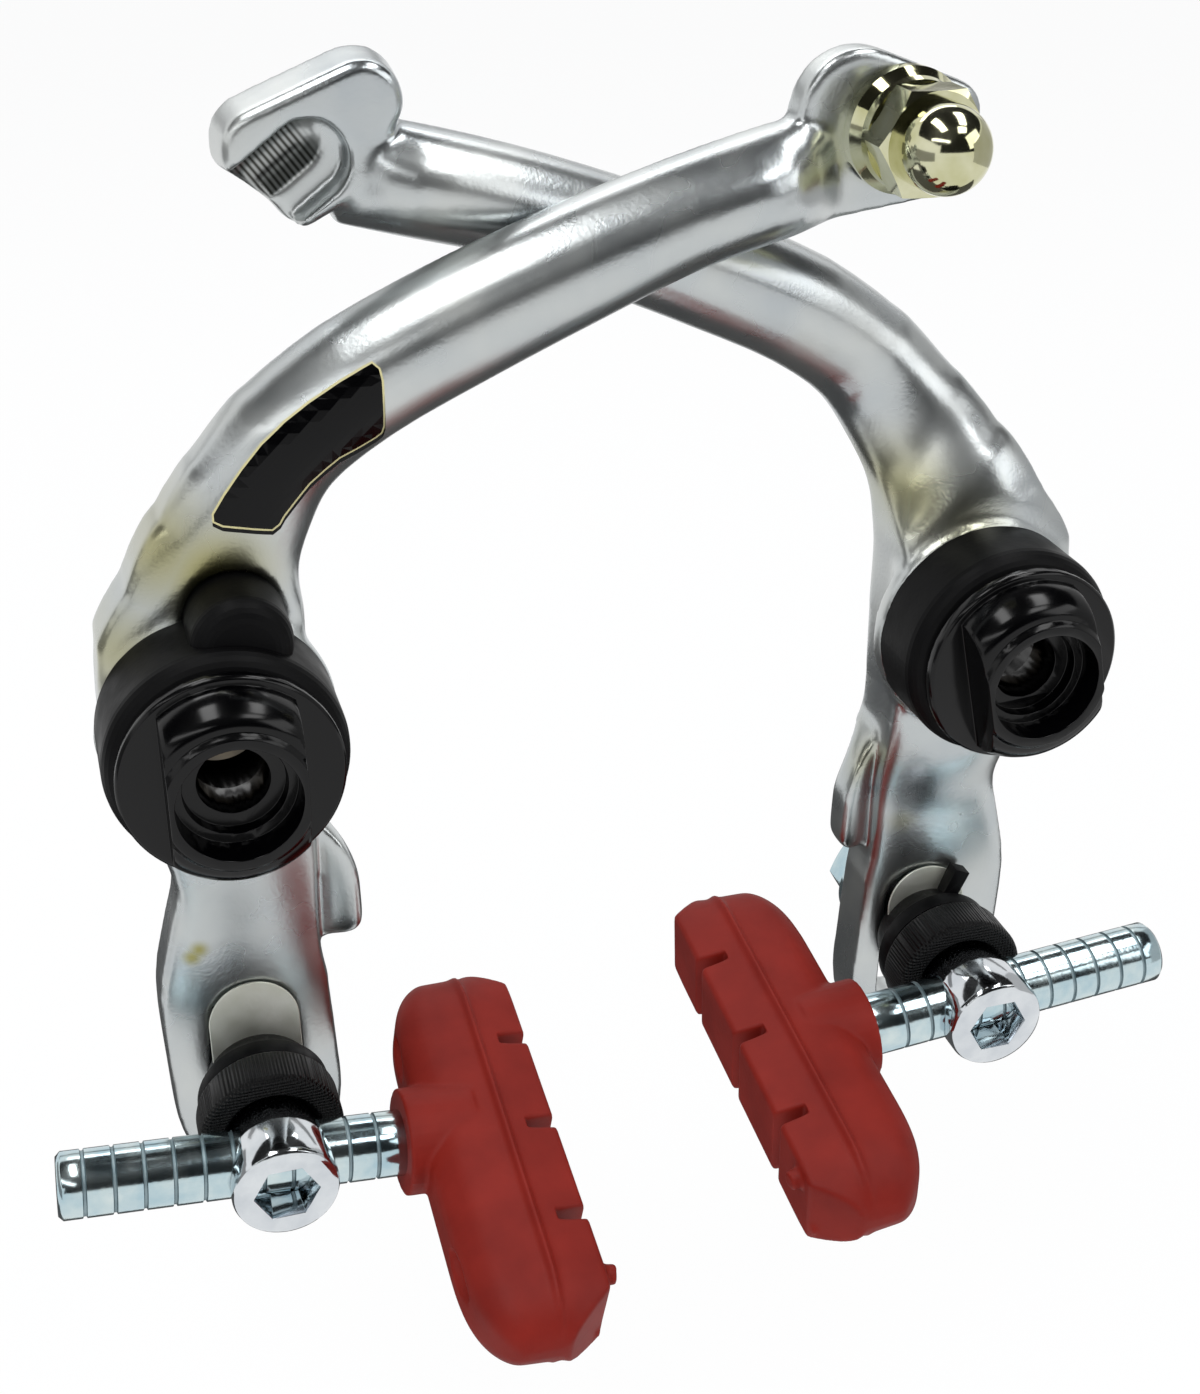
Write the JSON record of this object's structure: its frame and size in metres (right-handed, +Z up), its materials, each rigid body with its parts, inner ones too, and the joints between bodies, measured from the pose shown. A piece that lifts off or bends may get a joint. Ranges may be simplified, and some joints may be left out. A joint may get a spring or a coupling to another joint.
{
  "type": "bicycle u-brake",
  "caption": "Bicycle u-brake with crossed forged arms, black spring covers and adjusters, grooved pad posts and red brake pads.",
  "frame": {"origin": "midway between the two pivot axes, in the plane of the hubs' rear faces", "axes": "+X to the right seen from the front, +Y towards the frame along the pivot axes, +Z up"},
  "size_m": [0.1264, 0.0607, 0.1206],
  "materials": {
    "arm_alloy": "polished forged aluminium",
    "bush_bronze": "dark oiled bronze",
    "cover_plastic": "matt black moulded plastic",
    "adjuster_black": "gloss black",
    "spring_steel": "drawn spring steel",
    "black_oxide": "black oxide steel",
    "bright_steel": "bright plated steel",
    "zinc_steel": "bluish zinc plate",
    "nickel": "yellowish nickel plate",
    "pad_rubber": "brick red moulded rubber"
  },
  "bodies": {
    "frame_side": {"left_pivot_bush": "bush_bronze", "right_pivot_bush": "bush_bronze"},
    "left_spring_nut": {"left_adjuster": "adjuster_black"},
    "right_spring_nut": {"right_adjuster": "adjuster_black"},
    "front_lever": {"front_arm": "arm_alloy", "left_spring_cover": "cover_plastic", "left_return_spring": "spring_steel", "anchor_bolt": "nickel", "anchor_washer": "nickel", "anchor_nut": "nickel"},
    "back_lever": {"back_arm": "arm_alloy", "right_spring_cover": "cover_plastic", "right_return_spring": "spring_steel"},
    "left_toe_seat": {"left_toe_in_washer": "black_oxide"},
    "right_toe_seat": {"right_toe_in_washer": "black_oxide"},
    "left_eye": {"left_eye_bolt": "bright_steel", "left_toothed_washer": "black_oxide", "left_rear_washer": "zinc_steel", "left_eye_nut": "zinc_steel"},
    "right_eye": {"right_eye_bolt": "bright_steel", "right_toothed_washer": "black_oxide", "right_rear_washer": "zinc_steel", "right_eye_nut": "zinc_steel"},
    "left_shoe": {"left_pad_post": "zinc_steel", "left_brake_pad": "pad_rubber"},
    "right_shoe": {"right_pad_post": "zinc_steel", "right_brake_pad": "pad_rubber"}
  },
  "joints": [
    {"name": "front_arm_pivot", "type": "hinge", "parent": "frame_side", "child": "front_lever", "pos_m": [-0.042, 0, 0], "axis": [0, -1, 0], "range_deg": [-5, 13], "stiffness_Nm_per_rad": 1.2},
    {"name": "back_arm_pivot", "type": "hinge", "parent": "frame_side", "child": "back_lever", "pos_m": [0.042, 0, 0], "axis": [0, 1, 0], "range_deg": [-5, 13], "stiffness_Nm_per_rad": 1.2},
    {"name": "left_spring_turn", "type": "hinge", "parent": "frame_side", "child": "left_spring_nut", "pos_m": [-0.042, 0, 0], "axis": [0, -1, 0], "range_deg": [-40, 40]},
    {"name": "right_spring_turn", "type": "hinge", "parent": "frame_side", "child": "right_spring_nut", "pos_m": [0.042, 0, 0], "axis": [0, 1, 0], "range_deg": [-40, 40]},
    {"name": "left_slot_slide", "type": "slide", "parent": "front_lever", "child": "left_toe_seat", "axis": [0, 0, 1], "range_m": [-0.0048, 0.0066]},
    {"name": "right_slot_slide", "type": "slide", "parent": "back_lever", "child": "right_toe_seat", "axis": [0, 0, 1], "range_m": [-0.0082, 0.003]},
    {"name": "left_eye_swivel", "type": "hinge", "parent": "left_toe_seat", "child": "left_eye", "pos_m": [-0.0412, 0, -0.045], "axis": [0, -1, 0], "range_deg": [-15, 15]},
    {"name": "right_eye_swivel", "type": "hinge", "parent": "right_toe_seat", "child": "right_eye", "pos_m": [0.0396, 0, -0.0414], "axis": [0, 1, 0], "range_deg": [-15, 15]},
    {"name": "left_post_slide", "type": "slide", "parent": "left_eye", "child": "left_shoe", "axis": [-0.9962, 0, 0.0872], "range_m": [-0.008, 0.004]},
    {"name": "right_post_slide", "type": "slide", "parent": "right_eye", "child": "right_shoe", "axis": [0.9962, 0, 0.0872], "range_m": [-0.008, 0.004]}
  ]
}
